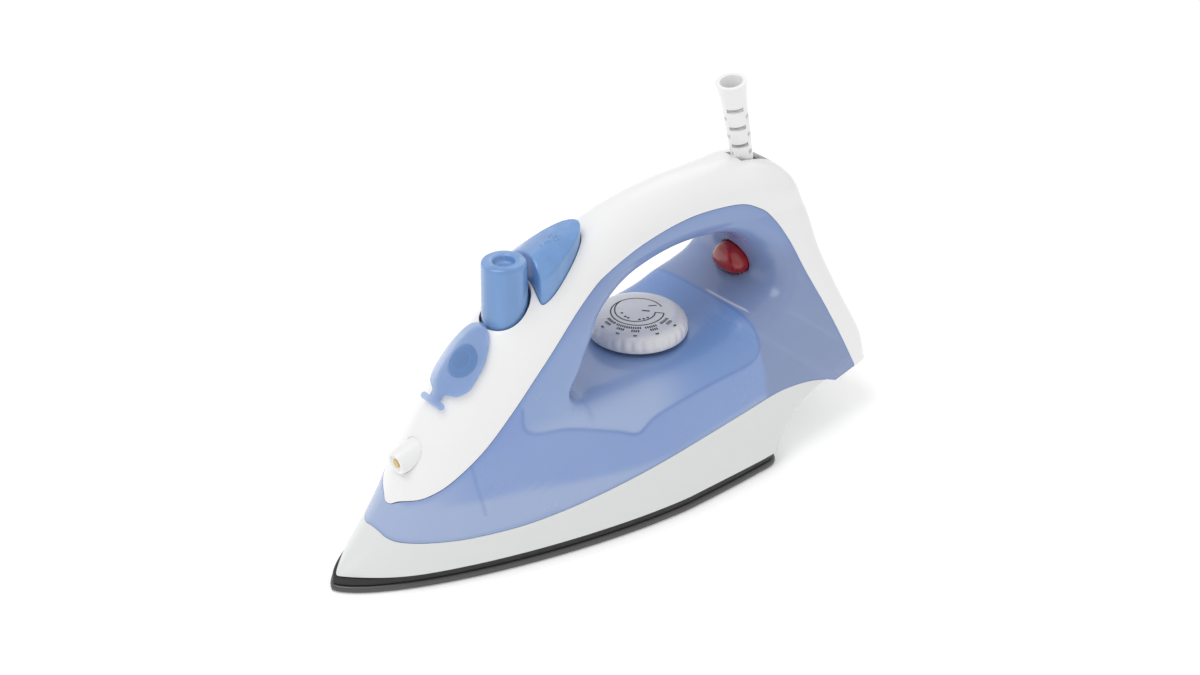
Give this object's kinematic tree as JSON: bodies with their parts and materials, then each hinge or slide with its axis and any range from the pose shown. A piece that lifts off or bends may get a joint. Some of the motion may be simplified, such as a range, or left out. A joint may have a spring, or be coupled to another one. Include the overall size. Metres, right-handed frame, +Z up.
{
  "type": "clothes iron",
  "caption": "Corded steam iron with a coated soleplate, translucent water tank, looped handle, steam knob, spray button, filler lid, temperature dial and swivelling cord guard.",
  "frame": {"origin": "on the ironing surface, under the middle of the overall length and width", "axes": "+X from the soleplate's tip towards the heel, +Y to the right-hand side as seen from the tip looking back, +Z up"},
  "size_m": [0.271, 0.103, 0.1642],
  "materials": {
    "sole_coating": "satin ceramic-coated plate, dark grey with a lighter rolled lip",
    "shield_black": "matt black heat-resistant plastic",
    "white_plastic": "smooth glossy white moulding",
    "tank_blue": "translucent lilac-blue polycarbonate, glossy",
    "button_blue": "saturated blue moulding, satin gloss",
    "lid_blue": "clear pale blue moulding, polished",
    "dial_grey": "silver-grey moulding with a fine scalloped rim",
    "lamp_red": "deep red translucent lens, polished",
    "bright_steel": "bright drawn steel",
    "aluminium": "cast and pressed aluminium, matt",
    "brass": "turned brass",
    "ceramic": "unglazed off-white ceramic",
    "silicone": "red-brown silicone rubber",
    "inner_plastic": "grey inner moulding",
    "lamp_glass": "clear glass bulb",
    "wire_cover": "woven glass sleeve over wire"
  },
  "bodies": {
    "housing": {"soleplate": "sole_coating", "heat_shield": "shield_black", "skirt": "white_plastic", "handle_shell": "white_plastic", "rear_cover": "white_plastic", "heel_plate": "white_plastic", "spray_nozzle": "white_plastic", "tank_shell": "tank_blue", "tank_base": "tank_blue", "fill_collar": "lid_blue", "lamp_lens": "lamp_red", "heating_element": "bright_steel", "thermal_fuse": "bright_steel", "heel_screw_left": "bright_steel", "heel_screw_right": "bright_steel", "steam_spring": "bright_steel", "pump_spring": "bright_steel", "cover_screw": "bright_steel", "steam_chamber_wall": "aluminium", "steam_chamber_cover": "aluminium", "element_terminal_left": "brass", "element_terminal_right": "brass", "drip_valve_seat": "brass", "nozzle_tip": "brass", "thermostat_body": "ceramic", "terminal_block": "ceramic", "valve_gasket": "silicone", "spindle_sleeve": "inner_plastic", "pump_body": "inner_plastic", "cord_clamp": "inner_plastic", "suction_tube": "inner_plastic", "spray_hose": "inner_plastic", "neon_lamp": "lamp_glass", "wire_live": "wire_cover", "wire_neutral": "wire_cover", "lamp_lead": "wire_cover", "earth_lead": "wire_cover"},
    "temperature_dial": {"dial": "dial_grey", "thermostat_spindle": "bright_steel"},
    "steam_control": {"steam_knob": "button_blue", "steam_rod": "bright_steel"},
    "spray_control": {"spray_button": "button_blue", "pump_piston": "inner_plastic"},
    "filler_lid": {"fill_lid": "lid_blue"},
    "cord_swivel": {"cord_guard": "white_plastic", "guard_collar": "white_plastic"}
  },
  "joints": [
    {"name": "dial_turn", "type": "hinge", "parent": "housing", "child": "temperature_dial", "pos_m": [0.027, 0, 0.0613], "axis": [0, 0, -1], "range_deg": [0, 240]},
    {"name": "steam_knob_press", "type": "slide", "parent": "housing", "child": "steam_control", "axis": [0, 0, -1], "range_m": [0, 0.003], "stiffness_N_per_m": 600, "springref_m": -0.002, "deforming": ["steam_spring"]},
    {"name": "spray_button_press", "type": "slide", "parent": "housing", "child": "spray_control", "axis": [0, 0, -1], "range_m": [0, 0.003], "stiffness_N_per_m": 600, "springref_m": -0.002, "deforming": ["pump_spring"]},
    {"name": "lid_flip", "type": "hinge", "parent": "housing", "child": "filler_lid", "pos_m": [-0.08181, 0, 0.0691], "axis": [0, -1, 0], "range_deg": [0, 100]},
    {"name": "cord_guard_swing", "type": "hinge", "parent": "housing", "child": "cord_swivel", "pos_m": [0.0885, 0, 0.1123], "axis": [0, 1, 0], "range_deg": [0, 50]}
  ]
}
